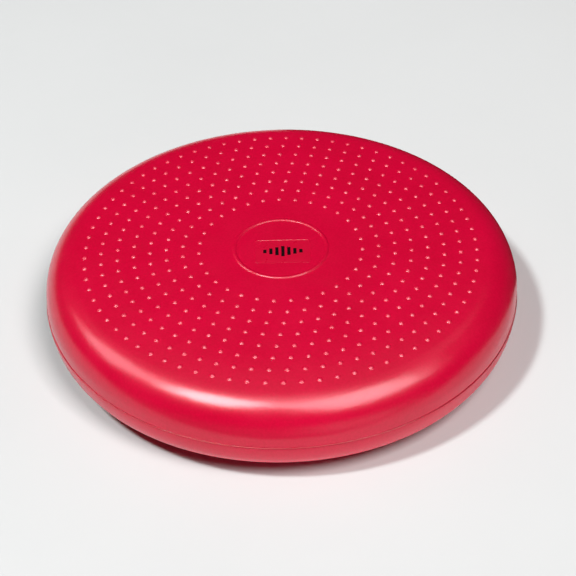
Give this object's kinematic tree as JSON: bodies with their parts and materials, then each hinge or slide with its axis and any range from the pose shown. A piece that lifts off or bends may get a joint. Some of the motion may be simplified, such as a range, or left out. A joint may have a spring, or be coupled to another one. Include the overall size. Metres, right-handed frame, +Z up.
{
  "type": "balance pad",
  "caption": "Round inflatable balance cushion: two welded soft vinyl skins around an air space, small nubs on top, larger nodules underneath and a needle valve in the sole.",
  "frame": {"origin": "middle of the floor contact, at the foot of the valve's boss", "axes": "+Z up, out of the nubbed top face; -Y towards the user's front, with the label's foot; +X to the right"},
  "size_m": [0.35, 0.35, 0.0729],
  "materials": {
    "red_vinyl": "satin moulded soft vinyl with a fine grain",
    "valve_rubber": "matt black rubber",
    "label_film": "thin red-tinted transfer film, glossier than the skin",
    "label_ink": "black print"
  },
  "bodies": {
    "base": {"lower_skin": "red_vinyl", "valve_housing": "red_vinyl", "valve_core": "valve_rubber"},
    "rim": {"seam_weld": "red_vinyl"},
    "top": {"upper_skin": "red_vinyl", "label_film": "label_film", "label_mark": "label_ink"}
  },
  "joints": [
    {"name": "tilt", "type": "hinge", "parent": "base", "child": "rim", "pos_m": [0, 0, 0.036], "axis": [0, 1, 0], "range_deg": [-6, 6], "stiffness_Nm_per_rad": 200, "deforming": ["lower_skin"]},
    {"name": "sink", "type": "slide", "parent": "rim", "child": "top", "axis": [0, 0, -1], "range_m": [0, 0.015], "stiffness_N_per_m": 50000, "deforming": ["upper_skin"]}
  ]
}
